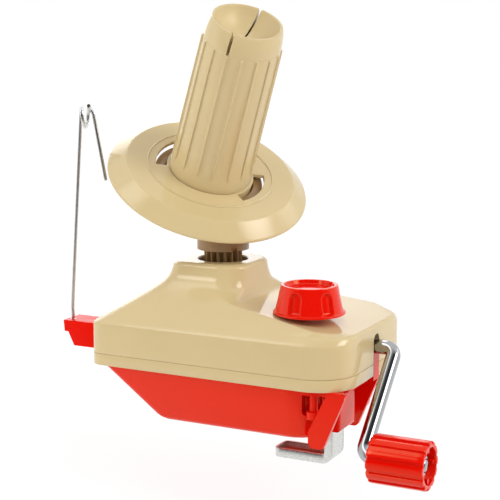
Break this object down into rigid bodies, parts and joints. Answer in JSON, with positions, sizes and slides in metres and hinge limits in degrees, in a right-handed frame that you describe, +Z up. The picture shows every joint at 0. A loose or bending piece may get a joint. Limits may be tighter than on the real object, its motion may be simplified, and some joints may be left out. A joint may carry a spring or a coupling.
{
  "type": "yarn ball winder",
  "caption": "Hand-cranked yarn ball winder: table clamp, geared housing, leaning fluted cone that spins and orbits, sliding arm with a wire yarn guide.",
  "frame": {"origin": "on the upright winding axis, at the flat underside that rests on the table", "axes": "+Z up along the winding axis, +X along the crank's axis towards the grip, -Y the front"},
  "size_m": [0.202, 0.1048, 0.2004],
  "materials": {
    "cream_plastic": "glossy moulded",
    "red_plastic": "glossy moulded",
    "brown_plastic": "satin moulded",
    "white_plastic": "satin moulded",
    "chrome": "bright plated",
    "zinc": "pale zinc plated",
    "steel": "turned"
  },
  "bodies": {
    "base": {"upper_housing": "cream_plastic", "rim_frame": "cream_plastic", "tub": "red_plastic", "housing_screws": "steel", "axle": "steel", "sun_gear": "white_plastic", "thrust_washer": "steel", "inner_bush": "white_plastic", "outer_bush": "white_plastic"},
    "crank": {"crank_rod": "chrome", "crown_gear": "brown_plastic", "crank_clip": "steel", "grip_retainer": "chrome"},
    "handle": {"grip": "red_plastic"},
    "carrier": {"rotor": "brown_plastic", "cone_spindle": "steel", "spindle_washer": "steel", "spindle_screw": "steel"},
    "cone": {"cone_tube": "cream_plastic", "tube_cap": "cream_plastic", "flange": "cream_plastic", "hub_gear": "white_plastic"},
    "clamp_knob": {"knob": "red_plastic", "clamp_screw": "steel", "screw_clip": "steel"},
    "jaw": {"clamp_strap": "zinc", "clamp_nut": "steel"},
    "guide": {"guide_arm": "red_plastic"},
    "wire": {"guide_wire": "chrome"}
  },
  "joints": [
    {"name": "crank_turn", "type": "hinge", "parent": "base", "child": "crank", "pos_m": [0.05, 0, 0.036], "axis": [1, 0, 0], "continuous": true},
    {"name": "grip_spin", "type": "hinge", "parent": "crank", "child": "handle", "pos_m": [0.103, -0.03818, -0.00218], "axis": [1, 0, 0], "continuous": true},
    {"name": "rotor_turn", "type": "hinge", "parent": "base", "child": "carrier", "pos_m": [0, 0, 0.07], "axis": [0, 0, 1], "continuous": true},
    {"name": "cone_spin", "type": "hinge", "parent": "carrier", "child": "cone", "pos_m": [0, 0, 0.134], "axis": [0.3993, -0.3009, 0.866], "continuous": true},
    {"name": "knob_turn", "type": "hinge", "parent": "base", "child": "clamp_knob", "pos_m": [0.0515, -0.0165, 0.05], "axis": [0, 0, 1], "range_deg": [-1020, 2880]},
    {"name": "jaw_slide", "type": "slide", "parent": "base", "child": "jaw", "axis": [0, 0, 1], "range_m": [-0.024, 0.0085]},
    {"name": "guide_slide", "type": "slide", "parent": "base", "child": "guide", "axis": [-1, 0, 0], "range_m": [0, 0.015]},
    {"name": "wire_swivel", "type": "hinge", "parent": "guide", "child": "wire", "pos_m": [-0.0836, -0.0022, 0.03], "axis": [0, 0, 1], "range_deg": [-90, 90]}
  ],
  "couplings": [
    {"joint": "rotor_turn", "follows": "crank_turn", "ratio": -3.375},
    {"joint": "cone_spin", "follows": "crank_turn", "ratio": -1.125},
    {"joint": "jaw_slide", "follows": "knob_turn", "m_per_rad": -0.00047746}
  ]
}
